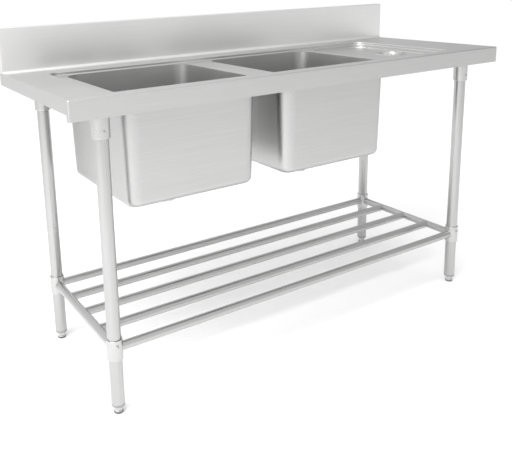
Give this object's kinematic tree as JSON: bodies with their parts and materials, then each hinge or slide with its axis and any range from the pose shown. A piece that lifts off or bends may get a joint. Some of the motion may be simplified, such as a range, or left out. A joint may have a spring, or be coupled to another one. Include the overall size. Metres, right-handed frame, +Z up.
{
  "type": "three compartment sink",
  "caption": "Stainless steel catering sink bench: deep bowls and a shallow drained compartment in a raised-rim top, splashback, tube legs with levelling feet and a tube pot shelf.",
  "frame": {"origin": "on the floor under the middle of the bench", "axes": "+X to the right along the bench, +Y from the front apron to the splashback, +Z up"},
  "size_m": [1.6, 0.6, 1.04],
  "materials": {
    "bowl_steel": "satin, pressed and polished",
    "cast_steel": "turned satin",
    "channel_steel": "mill finish",
    "fastener_steel": "plain A2 fastener",
    "foot_insert_plastic": "moulded grey",
    "foot_pad_plastic": "moulded dark grey",
    "foot_steel": "turned",
    "locknut_plastic": "moulded white",
    "rubber": "black nitrile",
    "splash_steel": "satin grain along the bench",
    "top_steel": "satin grain along the bench",
    "tube_steel": "satin drawn tube",
    "waste_steel": "polished pressing"
  },
  "bodies": {
    "bench": {"bench_top": "top_steel", "centre_bowl": "bowl_steel", "channel_left": "channel_steel", "channel_middle": "channel_steel", "channel_right": "channel_steel", "foot_insert_back_left": "foot_insert_plastic", "foot_insert_back_right": "foot_insert_plastic", "foot_insert_front_left": "foot_insert_plastic", "foot_insert_front_right": "foot_insert_plastic", "left_bowl": "bowl_steel", "leg_back_left": "tube_steel", "leg_back_right": "tube_steel", "leg_front_left": "tube_steel", "leg_front_right": "tube_steel", "leg_socket_back_left": "cast_steel", "leg_socket_back_right": "cast_steel", "leg_socket_front_left": "cast_steel", "leg_socket_front_right": "cast_steel", "right_pan": "top_steel", "socket_nuts": "fastener_steel", "socket_screws": "fastener_steel", "socket_studs": "fastener_steel", "splash_end_left": "splash_steel", "splash_end_right": "splash_steel", "splashback": "splash_steel", "waste_body_centre": "waste_steel", "waste_body_left": "waste_steel", "waste_body_pan": "waste_steel", "waste_gasket_centre": "rubber", "waste_gasket_left": "rubber", "waste_gasket_pan": "rubber", "waste_locknut_centre": "locknut_plastic", "waste_locknut_left": "locknut_plastic", "waste_locknut_pan": "locknut_plastic"},
    "shelf": {"shelf_cross_left": "tube_steel", "shelf_cross_right": "tube_steel", "shelf_rail_2": "tube_steel", "shelf_rail_3": "tube_steel", "shelf_rail_4": "tube_steel", "shelf_rail_back": "tube_steel", "shelf_rail_front": "tube_steel", "shelf_sleeve_back_left": "cast_steel", "shelf_sleeve_back_right": "cast_steel", "shelf_sleeve_front_left": "cast_steel", "shelf_sleeve_front_right": "cast_steel", "sleeve_screws": "fastener_steel"},
    "foot_pad_front_left": {"foot_pad_front_left": "foot_pad_plastic"},
    "foot_stem_front_left": {"foot_stem_front_left": "foot_steel"},
    "foot_pad_front_right": {"foot_pad_front_right": "foot_pad_plastic"},
    "foot_stem_front_right": {"foot_stem_front_right": "foot_steel"},
    "foot_pad_back_left": {"foot_pad_back_left": "foot_pad_plastic"},
    "foot_stem_back_left": {"foot_stem_back_left": "foot_steel"},
    "foot_pad_back_right": {"foot_pad_back_right": "foot_pad_plastic"},
    "foot_stem_back_right": {"foot_stem_back_right": "foot_steel"},
    "strainer_left": {"strainer_basket_left": "waste_steel", "basket_stopper_left": "rubber"},
    "strainer_centre": {"strainer_basket_centre": "waste_steel", "basket_stopper_centre": "rubber"},
    "strainer_pan": {"strainer_basket_pan": "waste_steel", "basket_stopper_pan": "rubber"}
  },
  "joints": [
    {"name": "shelf_height", "type": "slide", "parent": "bench", "child": "shelf", "axis": [0, 0, 1], "range_m": [-0.08, 0.22]},
    {"name": "foot_travel_front_left", "type": "slide", "parent": "bench", "child": "foot_pad_front_left", "axis": [0, 0, -1], "range_m": [0, 0.025]},
    {"name": "foot_turn_front_left", "type": "hinge", "parent": "foot_pad_front_left", "child": "foot_stem_front_left", "pos_m": [-0.695, -0.232, 0.01], "axis": [0, 0, -1], "range_deg": [0, 5143.36]},
    {"name": "foot_travel_front_right", "type": "slide", "parent": "bench", "child": "foot_pad_front_right", "axis": [0, 0, -1], "range_m": [0, 0.025]},
    {"name": "foot_turn_front_right", "type": "hinge", "parent": "foot_pad_front_right", "child": "foot_stem_front_right", "pos_m": [0.695, -0.232, 0.01], "axis": [0, 0, -1], "range_deg": [0, 5143.36]},
    {"name": "foot_travel_back_left", "type": "slide", "parent": "bench", "child": "foot_pad_back_left", "axis": [0, 0, -1], "range_m": [0, 0.025]},
    {"name": "foot_turn_back_left", "type": "hinge", "parent": "foot_pad_back_left", "child": "foot_stem_back_left", "pos_m": [-0.695, 0.232, 0.01], "axis": [0, 0, -1], "range_deg": [0, 5143.36]},
    {"name": "foot_travel_back_right", "type": "slide", "parent": "bench", "child": "foot_pad_back_right", "axis": [0, 0, -1], "range_m": [0, 0.025]},
    {"name": "foot_turn_back_right", "type": "hinge", "parent": "foot_pad_back_right", "child": "foot_stem_back_right", "pos_m": [0.695, 0.232, 0.01], "axis": [0, 0, -1], "range_deg": [0, 5143.36]},
    {"name": "strainer_lift_left", "type": "slide", "parent": "bench", "child": "strainer_left", "axis": [0, 0, 1], "range_m": [0, 0.12]},
    {"name": "strainer_lift_centre", "type": "slide", "parent": "bench", "child": "strainer_centre", "axis": [0, 0, 1], "range_m": [0, 0.12]},
    {"name": "strainer_lift_pan", "type": "slide", "parent": "bench", "child": "strainer_pan", "axis": [0, 0, 1], "range_m": [0, 0.12]}
  ],
  "couplings": [
    {"joint": "foot_turn_front_left", "follows": "foot_travel_front_left", "rad_per_m": 3590.4},
    {"joint": "foot_turn_front_right", "follows": "foot_travel_front_right", "rad_per_m": 3590.4},
    {"joint": "foot_turn_back_left", "follows": "foot_travel_back_left", "rad_per_m": 3590.4},
    {"joint": "foot_turn_back_right", "follows": "foot_travel_back_right", "rad_per_m": 3590.4}
  ]
}
